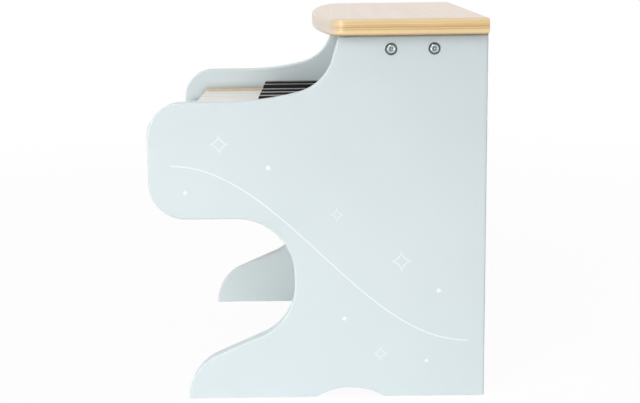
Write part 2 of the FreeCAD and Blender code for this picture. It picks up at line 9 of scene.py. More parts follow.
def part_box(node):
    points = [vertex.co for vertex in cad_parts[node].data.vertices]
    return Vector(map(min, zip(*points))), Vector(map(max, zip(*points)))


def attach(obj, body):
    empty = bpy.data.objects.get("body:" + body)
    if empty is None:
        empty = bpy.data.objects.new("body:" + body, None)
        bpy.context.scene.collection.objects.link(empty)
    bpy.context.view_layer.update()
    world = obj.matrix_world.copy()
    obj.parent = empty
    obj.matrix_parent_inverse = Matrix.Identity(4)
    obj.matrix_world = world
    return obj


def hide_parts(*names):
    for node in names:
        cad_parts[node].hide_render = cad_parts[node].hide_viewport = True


# Toy upright piano: painted side panels, a natural wood lid, satin keys and zinc bolts.
# Metres, +Z up, the player sits at -Y and +X is the player's right.

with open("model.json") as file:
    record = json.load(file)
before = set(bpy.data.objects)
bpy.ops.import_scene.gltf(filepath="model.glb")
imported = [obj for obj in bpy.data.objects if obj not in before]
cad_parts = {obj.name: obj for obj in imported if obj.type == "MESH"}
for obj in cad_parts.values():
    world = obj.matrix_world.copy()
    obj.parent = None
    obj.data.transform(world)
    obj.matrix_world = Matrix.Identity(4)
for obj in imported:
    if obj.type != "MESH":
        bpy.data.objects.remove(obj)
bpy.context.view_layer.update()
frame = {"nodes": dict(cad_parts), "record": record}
nodes = frame["nodes"]

MILLIMETRE = 0.001
PANEL_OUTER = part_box("side_panel_right")[1].x
LID_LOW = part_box("lid")[0].z
LID_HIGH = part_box("lid")[1].z

# The view: a long lens a little above the lid, nearly square to the treble side
CAMERA_PLACE = Vector((1.0255, 0.0051, 0.3320))
CAMERA_AIM = Vector((0.0, 0.0012, 0.1243))
CAMERA_ROLL = math.radians(-0.76)
CAMERA_LENS = 68.8
CAMERA_SENSOR = 36.0

WHITE = (1.0, 1.0, 1.0, 1.0)


def srgb(red, green, blue):
    """A display colour of 0 to 255 as the linear colour that a shader takes."""
    parts = [level / 255 for level in (red, green, blue)]
    linear = [p / 12.92 if p <= 0.04045 else ((p + 0.055) / 1.055) ** 2.4 for p in parts]
    return (*linear, 1.0)


# Wiring of shader nodes


# Places of the colour sockets on a Mix node
MIX_FACTOR, MIX_FIRST, MIX_SECOND, MIX_RESULT = 0, 6, 7, 2
# Where most of a noise value lies
NOISE_LOW, NOISE_HIGH = 0.3, 0.7


def fill(tree, socket, value):
    """Link a socket to another one, or set its number."""
    if isinstance(value, bpy.types.NodeSocket):
        tree.links.new(value, socket)
    else:
        socket.default_value = value


def put(tree, kind, inputs=None, **settings):
    """A shader node with its settings, its inputs linked or set by name."""
    made = tree.nodes.new(kind)
    for name, value in settings.items():
        setattr(made, name, value)
    for name, value in (inputs or {}).items():
        fill(tree, made.inputs[name], value)
    return made


def math_of(tree, operation, *values):
    """A math node's result."""
    made = put(tree, "ShaderNodeMath", operation=operation)
    for socket, value in zip(made.inputs, values):
        fill(tree, socket, value)
    return made.outputs[0]


def blend_of(tree, factor, first, second):
    """A mix of two colours."""
    made = put(tree, "ShaderNodeMix", data_type="RGBA")
    for number, value in ((MIX_FACTOR, factor), (MIX_FIRST, first), (MIX_SECOND, second)):
        fill(tree, made.inputs[number], value)
    return made.outputs[MIX_RESULT]


def laid_over(tree, colour, over, mask, share):
    """A colour with another one laid over it, by a share of a mask."""
    return blend_of(tree, math_of(tree, "MULTIPLY", mask, share), colour, over)


def span_of(tree, value, low, high, to_low=0.0, to_high=1.0, smooth=False):
    """A value mapped from one span to another and held at the ends."""
    kind = "SMOOTHSTEP" if smooth else "LINEAR"
    made = put(tree, "ShaderNodeMapRange", interpolation_type=kind)
    for socket, number in zip(made.inputs, (value, low, high, to_low, to_high)):
        fill(tree, socket, number)
    return made.outputs[0]


def noise_of(tree, vector, scale=1.0, detail=2.0, rough=0.5):
    """A noise value of the given count per metre."""
    inputs = {"Vector": vector, "Scale": scale, "Detail": detail, "Roughness": rough}
    return put(tree, "ShaderNodeTexNoise", inputs).outputs["Fac"]


def evened(tree, noise, low=0.0, high=1.0):
    """A noise value drawn out to fill a span."""
    return span_of(tree, noise, NOISE_LOW, NOISE_HIGH, low, high)


def stretched(tree, vector, scale):
    """Coordinates squeezed or drawn out along each axis."""
    return put(tree, "ShaderNodeMapping", {"Vector": vector, "Scale": scale}).outputs["Vector"]


def own_place(tree):
    """A point's place in its piece's own frame."""
    return put(tree, "ShaderNodeTexCoord").outputs["Object"]


def parts_of(tree, vector):
    """A vector's X, Y and Z."""
    made = put(tree, "ShaderNodeSeparateXYZ", {"Vector": vector})
    return made.outputs["X"], made.outputs["Y"], made.outputs["Z"]


def facing_of(tree):
    """X, Y and Z of the direction that the surface faces."""
    return parts_of(tree, put(tree, "ShaderNodeNewGeometry").outputs["Normal"])


def new_group(name, inputs, outputs):
    """An empty shader group with named sockets, and its way in and out."""
    group = bpy.data.node_groups.new(name, "ShaderNodeTree")
    for label, number in inputs.items():
        socket = group.interface.new_socket(label, in_out="INPUT", socket_type="NodeSocketFloat")
        socket.default_value = number
    for label in outputs:
        group.interface.new_socket(label, in_out="OUTPUT", socket_type="NodeSocketFloat")
    return group, group.nodes.new("NodeGroupInput"), group.nodes.new("NodeGroupOutput")


def give(group, way_out, **outputs):
    """Link a group's results to its outputs."""
    for label, value in outputs.items():
        fill(group, way_out.inputs[label.capitalize()], value)


def use_group(tree, group, **inputs):
    """The outputs of a group placed in a material with its own values."""
    made = put(tree, "ShaderNodeGroup", node_tree=group)
    for label, value in inputs.items():
        fill(tree, made.inputs[label.replace("_", " ").capitalize()], value)
    return made.outputs


def new_finish(name, **sockets):
    """A material with its shader, whose plain sockets are set here."""
    material = bpy.data.materials.new(name)
    material.use_nodes = True
    shader = material.node_tree.nodes["Principled BSDF"]
    for label, value in sockets.items():
        shader.inputs[label.replace("_", " ").title().replace("Ior", "IOR")].default_value = value
    return material, material.node_tree, shader


def wire_finish(tree, shader, colour, roughness, height, depth, strength):
    """Wire a finish's colour, roughness and relief into its shader."""
    inputs = {"Height": height, "Distance": depth, "Strength": strength}
    bump = put(tree, "ShaderNodeBump", inputs)
    fill(tree, shader.inputs["Base Color"], colour)
    fill(tree, shader.inputs["Roughness"], roughness)
    fill(tree, shader.inputs["Normal"], bump.outputs["Normal"])


# Effects that are placed more than once


PAINT_DRIFT, PAINT_RIPPLE, PAINT_PATCHES = 7.0, 160.0, 38.0
PAINT_RIPPLE_SHARE = 1.6
PAINT_GLOSS_SWING = 0.05


def make_paint_film():
    """Paint: a slow drift of tone, faint orange peel over ripples, and patches of gloss."""
    inputs = {"Gloss": 0.45, "Peel": 900.0}
    group, way_in, way_out = new_group("paint_film", inputs, ["Tone", "Roughness", "Height"])
    place = own_place(group)
    tone = noise_of(group, place, PAINT_DRIFT, detail=3.0)
    peel = noise_of(group, place, way_in.outputs["Peel"])
    ripple = noise_of(group, place, PAINT_RIPPLE, detail=1.0)
    patches = noise_of(group, place, PAINT_PATCHES, detail=4.0, rough=0.6)
    swing = evened(group, patches, -PAINT_GLOSS_SWING, PAINT_GLOSS_SWING)
    roughness = math_of(group, "ADD", way_in.outputs["Gloss"], swing)
    relief = math_of(group, "ADD", peel, math_of(group, "MULTIPLY", ripple, PAINT_RIPPLE_SHARE))
    give(group, way_out, tone=evened(group, tone), roughness=roughness, height=relief)
    return group


# How well the softened and the true direction of the surface agree on a flat and on an edge
EDGE_MASK_FLAT, EDGE_MASK_EDGE = 0.995, 0.86
EDGE_MASK_PATCHES, EDGE_MASK_PATCH_LOW, EDGE_MASK_PATCH_HIGH, EDGE_MASK_LEAST = 140.0, 0.3, 0.65, 0.45


def make_edge_shading_and_rub():
    """A mask of the rounded edges, broken up in patches. The finishes lay a colour over it: painted
    shade on the paint and the white keys, and a paler edge, partly rubbed and partly painted highlight,
    on the black keys and the bare wood.
    """
    group, way_in, way_out = new_group("edge_shading_and_rub", {"Reach": 0.002}, ["Mask"])
    soft = put(group, "ShaderNodeBevel", {"Radius": way_in.outputs["Reach"]}, samples=6)
    true_normal = put(group, "ShaderNodeNewGeometry").outputs["True Normal"]
    pair = {0: soft.outputs["Normal"], 1: true_normal}
    agreed = put(group, "ShaderNodeVectorMath", pair, operation="DOT_PRODUCT").outputs["Value"]
    edge = span_of(group, agreed, EDGE_MASK_FLAT, EDGE_MASK_EDGE, smooth=True)
    patches = noise_of(group, own_place(group), EDGE_MASK_PATCHES, detail=3.0)
    patchy = span_of(group, patches, EDGE_MASK_PATCH_LOW, EDGE_MASK_PATCH_HIGH, EDGE_MASK_LEAST)
    give(group, way_out, mask=math_of(group, "MULTIPLY", edge, patchy))
    return group


# How open the space is over an unshaded and over a fully shaded point
SHADE_OPEN, SHADE_COVERED = 0.97, 0.5
# The heights where the painted shade begins and where it is full
SHADE_LOW, SHADE_FULL = 0.02, 0.05


def make_painted_joint_shade():
    """A mask of painted shade where a piece stands over a board, clear of the floor, darkest where the
    space over a point closes in.
    """
    group, way_in, way_out = new_group("painted_joint_shade", {"Reach": 0.008}, ["Mask"])
    reach = {"Distance": way_in.outputs["Reach"]}
    cover = put(group, "ShaderNodeAmbientOcclusion", reach, samples=12)
    close = span_of(group, cover.outputs["AO"], SHADE_OPEN, SHADE_COVERED)
    _, _, height = parts_of(group, own_place(group))
    raised = span_of(group, height, SHADE_LOW, SHADE_FULL, smooth=True)
    give(group, way_out, mask=math_of(group, "MULTIPLY", close, raised))
    return group


FIBRE_STRETCH, PORE_STRETCH = (1.5, 9.0, 9.0), (9.0, 16.0, 16.0)
BAND_LOW, BAND_HIGH = 0.32, 0.68
PORE_LOW, PORE_HIGH = 0.66, 0.74
PORE_DEPTH_SHARE = 0.5


def make_wood_grain():
    """Straight grain along the piece's X: broad bands, fine fibres and short dark pores."""
    inputs = {"Along": 5.0, "Across": 90.0}
    group, way_in, way_out = new_group("wood_grain", inputs, ["Bands", "Fibres", "Pores", "Height"])
    along, across = way_in.outputs["Along"], way_in.outputs["Across"]
    scale = put(group, "ShaderNodeCombineXYZ", {"X": along, "Y": across, "Z": across})
    flow = stretched(group, own_place(group), scale.outputs["Vector"])
    bands = noise_of(group, flow, detail=3.0, rough=0.55)
    fibres = noise_of(group, stretched(group, flow, FIBRE_STRETCH), detail=4.0, rough=0.65)
    pores = noise_of(group, stretched(group, flow, PORE_STRETCH), detail=1.0)
    dark = span_of(group, pores, PORE_LOW, PORE_HIGH)
    relief = math_of(group, "SUBTRACT", fibres, math_of(group, "MULTIPLY", dark, PORE_DEPTH_SHARE))
    broad = span_of(group, bands, BAND_LOW, BAND_HIGH)
    give(group, way_out, bands=broad, fibres=evened(group, fibres), pores=dark, height=relief)
    return group


BRUSH_LINES, PLATING_CLOUDS = 1800.0, 420.0
PLATING_SMOOTHER, PLATING_ROUGHER = -0.07, 0.1


def make_metal_brushing():
    """Fine lines drawn along the piece's X or Y, with cloudy plating over them."""
    inputs = {"Along x": 60.0, "Along y": 60.0, "Gloss": 0.28}
    group, way_in, way_out = new_group("metal_brushing", inputs, ["Tone", "Roughness", "Height"])
    scale = {"X": way_in.outputs["Along x"], "Y": way_in.outputs["Along y"], "Z": BRUSH_LINES}
    drawn = put(group, "ShaderNodeCombineXYZ", scale).outputs["Vector"]
    place = own_place(group)
    lines = noise_of(group, stretched(group, place, drawn))
    cloud = noise_of(group, place, PLATING_CLOUDS, detail=4.0, rough=0.6)
    swing = evened(group, cloud, PLATING_SMOOTHER, PLATING_ROUGHER)
    roughness = math_of(group, "ADD", way_in.outputs["Gloss"], swing)
    give(group, way_out, tone=evened(group, cloud), roughness=roughness, height=lines)
    return group


# A star's points are drawn in by a power, and its line is the outer part of its shape
STAR_PINCH = 0.62
STAR_LINE_START = 0.88
STAR_SOFTNESS = 0.05


def make_printed_star():
    """A mask of the line round one four-pointed star on a side panel, at its Y, Z and size."""
    inputs = {"Depth": 0.0, "Height": 0.0, "Size": 0.006}
    group, way_in, way_out = new_group("printed_star", inputs, ["Mask"])
    _, depth, height = parts_of(group, own_place(group))
    roots = []
    for part, label in ((depth, "Depth"), (height, "Height")):
        away = math_of(group, "ABSOLUTE", math_of(group, "SUBTRACT", part, way_in.outputs[label]))
        roots.append(math_of(group, "POWER", away, STAR_PINCH))
    reach = math_of(group, "POWER", way_in.outputs["Size"], STAR_PINCH)
    shape = math_of(group, "DIVIDE", math_of(group, "ADD", *roots), reach)
    inner = span_of(group, shape, STAR_LINE_START - STAR_SOFTNESS, STAR_LINE_START, smooth=True)
    outer = span_of(group, shape, 1.0, 1.0 - STAR_SOFTNESS, smooth=True)
    give(group, way_out, mask=math_of(group, "MULTIPLY", inner, outer))
    return group


paint_film = make_paint_film()
edge_shading_and_rub = make_edge_shading_and_rub()
painted_joint_shade = make_painted_joint_shade()
wood_grain = make_wood_grain()
metal_brushing = make_metal_brushing()
printed_star = make_printed_star()

# The print on the outer side of each panel: one swooping line with stars and dots beside it.
# Depth is along Y and height is along Z. Stars have a size and dots a radius.
SWOOP_START, SWOOP_END = -0.108, 0.112
SWOOP_MIDDLE, SWOOP_SWING = 0.112, 0.068
PRINT_HALF_WIDTH = 0.3 * MILLIMETRE
PRINT_SOFTNESS = 0.25 * MILLIMETRE
PRINT_SKIN = 0.4 * MILLIMETRE
PRINT_STARS = [
    (-0.072, 0.196, 0.0080), (0.014, 0.142, 0.0056), (0.062, 0.106, 0.0088), (0.046, 0.034, 0.0062),
]
PRINT_DOTS = [
    (-0.036, 0.178, 0.0016), (-0.098, 0.160, 0.0013), (0.090, 0.083, 0.0016), (0.019, 0.062, 0.0014),
    (0.081, 0.028, 0.0012),
]


def swoop_mask(tree, depth, height):
    """The line itself: a half wave that falls from the keyboard arm to the back of the foot."""
    length = SWOOP_END - SWOOP_START
    phase = math_of(tree, "MULTIPLY", math_of(tree, "SUBTRACT", depth, SWOOP_START), math.pi / length)
    level = math_of(tree, "MULTIPLY_ADD", math_of(tree, "COSINE", phase), SWOOP_SWING, SWOOP_MIDDLE)
    steep = math_of(tree, "MULTIPLY", math_of(tree, "SINE", phase), SWOOP_SWING * math.pi / length)
    slant = math_of(tree, "SQRT", math_of(tree, "MULTIPLY_ADD", steep, steep, 1.0))
    away = math_of(tree, "ABSOLUTE", math_of(tree, "SUBTRACT", height, level))
    away = math_of(tree, "DIVIDE", away, slant)
    line = span_of(tree, away, PRINT_HALF_WIDTH + PRINT_SOFTNESS, PRINT_HALF_WIDTH, smooth=True)
    begun = math_of(tree, "GREATER_THAN", depth, SWOOP_START)
    ended = math_of(tree, "LESS_THAN", depth, SWOOP_END)
    return math_of(tree, "MULTIPLY", line, math_of(tree, "MULTIPLY", begun, ended))


def dot_mask(tree, depth, height, dot):
    """One round dot."""
    dot_depth, dot_height, radius = dot
    sides = [math_of(tree, "SUBTRACT", *pair) for pair in ((depth, dot_depth), (height, dot_height))]
    squares = [math_of(tree, "MULTIPLY", side, side) for side in sides]
    away = math_of(tree, "SQRT", math_of(tree, "ADD", *squares))
    return span_of(tree, away, radius + PRINT_SOFTNESS, radius, smooth=True)


def print_mask(tree):
    """All of the print, on the outer faces only."""
    x, depth, height = parts_of(tree, own_place(tree))
    mask = swoop_mask(tree, depth, height)
    for star_depth, star_height, star_size in PRINT_STARS:
        star = use_group(tree, printed_star, depth=star_depth, height=star_height, size=star_size)
        mask = math_of(tree, "MAXIMUM", mask, star["Mask"])
    for dot in PRINT_DOTS:
        mask = math_of(tree, "MAXIMUM", mask, dot_mask(tree, depth, height, dot))
    outside = math_of(tree, "GREATER_THAN", math_of(tree, "ABSOLUTE", x), PANEL_OUTER - PRINT_SKIN)
    return math_of(tree, "MULTIPLY", mask, outside)


# Finishes. Each relief is the depth of a finish's bumps.


PAINT_BLUE, PAINT_BLUE_DEEP = srgb(220, 230, 233), srgb(215, 226, 229)
# The grey of the painted shade on the rounded edges
PAINT_EDGE_SHADE = srgb(203, 211, 212)
PRINT_WHITE = srgb(243, 248, 248)
# The colour of the painted shade where a piece closes in over the paint, as under the lid
JOINT_SHADE = srgb(112, 104, 96)
PAINT_EDGE_REACH = 1.2 * MILLIMETRE
JOINT_SHADE_REACH = 8 * MILLIMETRE
PAINT_RELIEF = 0.02 * MILLIMETRE
PRINT_BUILD = 1.5


def pale_blue_paint(name, printed):
    """Satin pale blue paint on board, with or without the print, with painted shade on its rounded edges
    and under overhanging pieces.
    """
    material, tree, shader = new_finish(name, ior=1.46)
    film = use_group(tree, paint_film, gloss=0.46, peel=1100.0)
    colour = blend_of(tree, film["Tone"], PAINT_BLUE, PAINT_BLUE_DEEP)
    # Painted shade: the rounded edges turn greyer
    edge_shading = use_group(tree, edge_shading_and_rub, reach=PAINT_EDGE_REACH)["Mask"]
    colour = laid_over(tree, colour, PAINT_EDGE_SHADE, edge_shading, share=0.55)
    # Painted shade: the paint darkens where another piece closes in over it, as under the lid
    joint_shade = use_group(tree, painted_joint_shade, reach=JOINT_SHADE_REACH)["Mask"]
    colour = laid_over(tree, colour, JOINT_SHADE, joint_shade, share=0.5)
    height = film["Height"]
    if printed:
        mask = print_mask(tree)
        colour = blend_of(tree, mask, colour, PRINT_WHITE)
        height = math_of(tree, "MULTIPLY_ADD", mask, PRINT_BUILD, height)
    wire_finish(tree, shader, colour, film["Roughness"], height, PAINT_RELIEF, strength=0.6)
    return material


# The lid's layers from the underside up, as shares of its thickness, with their colours
# The dark first stop is painted shade along the lid's rounded lower edge
LID_LAYERS = [
    (0.00, srgb(170, 134, 90)), (0.07, srgb(234, 203, 150)), (0.16, srgb(247, 219, 171)),
    (0.29, srgb(245, 217, 168)), (0.36, srgb(219, 179, 117)), (0.42, srgb(242, 212, 159)),
    (0.49, srgb(208, 162, 97)), (0.56, srgb(234, 198, 139)), (0.63, srgb(229, 192, 131)),
    (0.70, srgb(245, 218, 167)), (0.77, srgb(236, 203, 147)), (0.84, srgb(244, 216, 165)),
    (0.93, srgb(239, 210, 161)),
]
LID_LAYER_WAVER = 0.03
LID_STREAK = srgb(214, 170, 106)
LID_STREAK_STRETCH = (14.0, 14.0, 2600.0)
LID_STREAK_LOW, LID_STREAK_HIGH, LID_STREAK_MOST = 0.5, 0.72, 0.4
LID_FACE, LID_FACE_DARK = srgb(228, 210, 192), srgb(217, 194, 170)
LID_PORE = srgb(196, 158, 112)
# The rounded front's paler colour is a painted highlight on its wood
LID_NOSE_HIGHLIGHT = srgb(217, 201, 185)
LID_NOSE_LAYERED = 0.15
# How far the edge faces along Y on the rounded front and on the ends
LID_FRONT_FACING, LID_END_FACING = 0.97, 0.3
LID_FACE_START, LID_FACE_FULL = 0.94, 0.97
LID_SMOOTH, LID_ROUGH = 0.32, 0.44
LID_RELIEF = 0.04 * MILLIMETRE


def lid_layers(tree, bands, level):
    """The layers that the ends show, a little wavy and streaked along their length."""
    waver = math_of(tree, "MULTIPLY", math_of(tree, "SUBTRACT", bands, 0.5), LID_LAYER_WAVER)
    ramp = put(tree, "ShaderNodeValToRGB", {"Fac": math_of(tree, "ADD", level, waver)})
    stops = ramp.color_ramp.elements
    ready = len(stops)
    for number, (at, colour) in enumerate(LID_LAYERS):
        stop = stops[number] if number < ready else stops.new(at)
        stop.position = at
        stop.color = colour
    lengthwise = stretched(tree, own_place(tree), LID_STREAK_STRETCH)
    streaks = noise_of(tree, lengthwise, detail=3.0, rough=0.6)
    streaky = span_of(tree, streaks, LID_STREAK_LOW, LID_STREAK_HIGH, 0.0, LID_STREAK_MOST)
    return blend_of(tree, streaky, ramp.outputs["Color"], LID_STREAK)


def lid_birch():
    """Lacquered plywood: pale face veneer, golden layered ends with painted shade along the lowest
    layer, and a rounded front painted paler as a highlight.
    """
    material, tree, shader = new_finish("lid_birch", ior=1.5, coat_weight=0.5, coat_roughness=0.3)
    grain = use_group(tree, wood_grain, along=4.0, across=110.0)
    _, _, height = parts_of(tree, own_place(tree))
    level = span_of(tree, height, LID_LOW, LID_HIGH)
    layered = lid_layers(tree, grain["Bands"], level)
    # Faces turned along Y get the painted highlight of the rounded front
    _, facing, _ = facing_of(tree)
    along_y = math_of(tree, "ABSOLUTE", facing)
    end = span_of(tree, along_y, LID_FRONT_FACING, LID_END_FACING, smooth=True)
    edge = blend_of(tree, end, blend_of(tree, LID_NOSE_LAYERED, LID_NOSE_HIGHLIGHT, layered), layered)
    face = laid_over(tree, LID_FACE, LID_FACE_DARK, grain["Bands"], share=0.6)
    face = laid_over(tree, face, LID_FACE_DARK, grain["Fibres"], share=0.25)
    face = laid_over(tree, face, LID_PORE, grain["Pores"], share=0.15)
    upper = span_of(tree, level, LID_FACE_START, LID_FACE_FULL, smooth=True)
    colour = blend_of(tree, upper, edge, face)
    roughness = span_of(tree, grain["Fibres"], 0.0, 1.0, LID_SMOOTH, LID_ROUGH)
    wire_finish(tree, shader, colour, roughness, grain["Height"], LID_RELIEF, strength=0.5)
    return material


WOOD_PALE, WOOD_DARK = srgb(239, 225, 203), srgb(227, 204, 172)
WOOD_PORE = srgb(184, 145, 104)
WOOD_SMOOTH, WOOD_ROUGH = 0.6, 0.74
WOOD_EDGE_REACH = 0.8 * MILLIMETRE
WOOD_RELIEF = 0.08 * MILLIMETRE


def bare_beech():
    """Unfinished pale wood with short dark pores."""
    material, tree, shader = new_finish("bare_beech", ior=1.45)
    grain = use_group(tree, wood_grain, along=7.0, across=150.0)
    colour = blend_of(tree, grain["Bands"], WOOD_PALE, WOOD_DARK)
    colour = laid_over(tree, colour, WOOD_DARK, grain["Fibres"], share=0.4)
    colour = laid_over(tree, colour, WOOD_PORE, grain["Pores"], share=0.6)
    edge_shading = use_group(tree, edge_shading_and_rub, reach=WOOD_EDGE_REACH)["Mask"]
    colour = laid_over(tree, colour, WOOD_PALE, edge_shading, share=0.3)
    roughness = span_of(tree, grain["Fibres"], 0.0, 1.0, WOOD_SMOOTH, WOOD_ROUGH)
    wire_finish(tree, shader, colour, roughness, grain["Height"], WOOD_RELIEF, strength=0.6)
    return material


# How far a key's surface faces up on its top and on its sides; the sides are painted a darker, shaded
# colour
KEY_TOP_FACING, KEY_SIDE_FACING = 0.985, 0.8
KEY_EDGE_REACH = 1.0 * MILLIMETRE
KEY_RELIEF = 0.015 * MILLIMETRE


def key_lacquer(name, ior, colour, tone_and_edge_shading, sides, gloss):
    """Sprayed key lacquer: its colour, that of its random tone and its edges, that of its sides, and its
    gloss. The sides are painted shade; the edges are painted shade on the white keys and paler on the
    black.
    """
    material, tree, shader = new_finish(name, ior=ior)
    film = use_group(tree, paint_film, gloss=gloss, peel=1500.0)
    shade = laid_over(tree, colour, tone_and_edge_shading, film["Tone"], share=0.1)
    # Painted shade: the sides turn darker than the top
    _, _, upward = facing_of(tree)
    shaded_sides = span_of(tree, upward, KEY_TOP_FACING, KEY_SIDE_FACING, smooth=True)
    shade = blend_of(tree, shaded_sides, shade, sides)
    # The edges: painted shade on the white keys, and a paler edge, partly rubbed and partly painted
    # highlight, on the black
    edge_shading = use_group(tree, edge_shading_and_rub, reach=KEY_EDGE_REACH)["Mask"]
    shade = laid_over(tree, shade, tone_and_edge_shading, edge_shading, share=0.4)
    wire_finish(tree, shader, shade, film["Roughness"], film["Height"], KEY_RELIEF, strength=0.5)
    return material


METAL_RELIEF = 0.012 * MILLIMETRE


def plated_metal(name, colour, clouded, along_x, along_y, gloss):
    """Bright metal with fine drawn lines under a cloudy surface."""
    material, tree, shader = new_finish(name, metallic=1.0)
    brushing = use_group(tree, metal_brushing, along_x=along_x, along_y=along_y, gloss=gloss)
    shade = blend_of(tree, brushing["Tone"], colour, clouded)
    roughness = brushing["Roughness"]
    wire_finish(tree, shader, shade, roughness, brushing["Height"], METAL_RELIEF, strength=0.5)
    return material


BOLT_PALE, BOLT_CLOUD = srgb(200, 209, 209), srgb(160, 172, 173)
# The colour of the painted shade in the bolt's seat and socket
BOLT_RECESS_SHADE = srgb(104, 114, 115)
# The painted shade thins out above the face of the panel and is full below it
RECESS_SHADE_TOP, RECESS_SHADE_FULL = 0.45 * MILLIMETRE, -0.35 * MILLIMETRE
RECESS_ROUGHER = 0.25


def bolt_zinc():
    """Zinc with painted dark shade where the bolt lies below the face of its panel, in its seat and
    socket.
    """
    material, tree, shader = new_finish("bolt_zinc", metallic=1.0)
    brushing = use_group(tree, metal_brushing, along_x=900.0, along_y=900.0, gloss=0.24)
    shade = blend_of(tree, brushing["Tone"], BOLT_PALE, BOLT_CLOUD)
    # Painted shade: darker where the bolt sinks below the face of its panel
    x, _, _ = parts_of(tree, own_place(tree))
    proud = math_of(tree, "SUBTRACT", math_of(tree, "ABSOLUTE", x), PANEL_OUTER)
    sunk = span_of(tree, proud, RECESS_SHADE_TOP, RECESS_SHADE_FULL, smooth=True)
    shade = blend_of(tree, sunk, shade, BOLT_RECESS_SHADE)
    roughness = math_of(tree, "MULTIPLY_ADD", sunk, RECESS_ROUGHER, brushing["Roughness"])
    wire_finish(tree, shader, shade, roughness, brushing["Height"], METAL_RELIEF, strength=0.5)
    return material


FELT_RED, FELT_LINT = srgb(150, 46, 48), srgb(186, 88, 84)
FELT_MAT = 900.0
FELT_LINT_STRETCH, FELT_LINT_LOW, FELT_LINT_HIGH = (2600.0, 500.0, 900.0), 0.45, 0.7
FELT_SMOOTH, FELT_ROUGH = 0.85, 0.98
FELT_RELIEF = 0.4 * MILLIMETRE


def pressed_felt():
    """Pressed wool felt: matted fibres and paler lint."""
    material, tree, shader = new_finish("pressed_felt", sheen_weight=0.4, sheen_roughness=0.5)
    place = own_place(tree)
    mat = noise_of(tree, place, FELT_MAT, detail=6.0, rough=0.7)
    lint = noise_of(tree, stretched(tree, place, FELT_LINT_STRETCH), detail=3.0)
    pale = span_of(tree, lint, FELT_LINT_LOW, FELT_LINT_HIGH)
    shade = blend_of(tree, pale, FELT_RED, FELT_LINT)
    roughness = evened(tree, mat, FELT_SMOOTH, FELT_ROUGH)
    wire_finish(tree, shader, shade, roughness, mat, FELT_RELIEF, strength=0.8)
    return material


MOULD_IVORY, MOULD_SHADE = srgb(228, 223, 208), srgb(214, 207, 190)
MOULD_SKIN = 2600.0
MOULD_FLOW_STRETCH, MOULD_FLOW_LOW, MOULD_FLOW_HIGH = (160.0, 30.0, 60.0), 0.35, 0.65
MOULD_SMOOTH, MOULD_ROUGH = 0.42, 0.55
MOULD_RELIEF = 0.02 * MILLIMETRE


def moulded_ivory():
    """Moulded plastic of the hammers: spark-eroded skin with faint flow marks."""
    material, tree, shader = new_finish("moulded_ivory", ior=1.49)
    place = own_place(tree)
    skin = noise_of(tree, place, MOULD_SKIN)
    flow = noise_of(tree, stretched(tree, place, MOULD_FLOW_STRETCH), detail=3.0)
    marks = span_of(tree, flow, MOULD_FLOW_LOW, MOULD_FLOW_HIGH)
    shade = blend_of(tree, marks, MOULD_IVORY, MOULD_SHADE)
    roughness = evened(tree, skin, MOULD_SMOOTH, MOULD_ROUGH)
    wire_finish(tree, shader, shade, roughness, skin, MOULD_RELIEF, strength=0.5)
    return material


# Each key's sides colour is painted shade; its edge colour is painted shade on the white keys and a
# paler, partly highlighted edge on the black
white_lacquer = key_lacquer(
    "white_key_lacquer", ior=1.5, gloss=0.34,
    colour=srgb(245, 244, 239), tone_and_edge_shading=srgb(227, 223, 214), sides=srgb(213, 208, 197),
)
black_lacquer = key_lacquer(
    "black_key_lacquer", ior=1.28, gloss=0.2,
    colour=srgb(34, 29, 28), tone_and_edge_shading=srgb(70, 63, 60), sides=srgb(20, 17, 16),
)
zinc_plate = plated_metal(
    "zinc_plate", along_x=60.0, along_y=60.0, gloss=0.26,
    colour=srgb(186, 196, 196), clouded=srgb(150, 163, 164),
)
milled_bar = plated_metal(
    "milled_bar", along_x=1800.0, along_y=40.0, gloss=0.3,
    colour=srgb(214, 216, 218), clouded=srgb(190, 193, 196),
)
panel_paint = pale_blue_paint("pale_blue_paint_printed", printed=True)
finishes = {
    "painted_board": pale_blue_paint("pale_blue_paint", printed=False),
    "lid_wood": lid_birch(),
    "plain_wood": bare_beech(),
    "white_paint": white_lacquer,
    "black_paint": black_lacquer,
    "bright_steel": zinc_plate,
    "tone_metal": milled_bar,
    "felt": pressed_felt(),
    "hammer_plastic": moulded_ivory(),
}


def dress_nodes():
    """Give every CAD node the finish of its slot, and the side panels the printed paint."""
    slots = {part["node"]: part["material_slot"] for part in frame["record"]["subparts"]}
    for name, piece in nodes.items():
        finish = panel_paint if name.startswith("side_panel") else finishes[slots[name]]
        for slot in piece.material_slots:
            slot.material = finish


# Side bolts. Heights along a bolt are measured outwards from the face of its panel.


BOLT_SEGMENTS = 48
BOLT_LOBES = 6
BOLT_SHARP_ANGLE = math.radians(35)
HEAD_RADIUS = 4.1 * MILLIMETRE
HEAD_CHAMFER = 0.22 * MILLIMETRE
SHANK_RADIUS = 2.5 * MILLIMETRE
SHANK_TIP_SHARE = 0.7
SEAT_DEPTH = 1.2 * MILLIMETRE
CROWN_HEIGHT = 1.2 * MILLIMETRE
DOME_RADIUS = 3.6 * MILLIMETRE
DOME_FOOT = -0.75 * MILLIMETRE
DOME_RINGS = 9
SOCKET_RADIUS = 1.75 * MILLIMETRE
SOCKET_WAVE = 0.22 * MILLIMETRE
SOCKET_DEPTH = 1.3 * MILLIMETRE
SOCKET_FLOOR = CROWN_HEIGHT - SOCKET_DEPTH
SOCKET_FLOOR_SHARE = 0.94
PIN_RADIUS = 0.6 * MILLIMETRE
PIN_SHOULDER = 0.7 * MILLIMETRE
PIN_SHOULDER_SHARE = 0.8
PIN_HEIGHT = 0.84 * MILLIMETRE


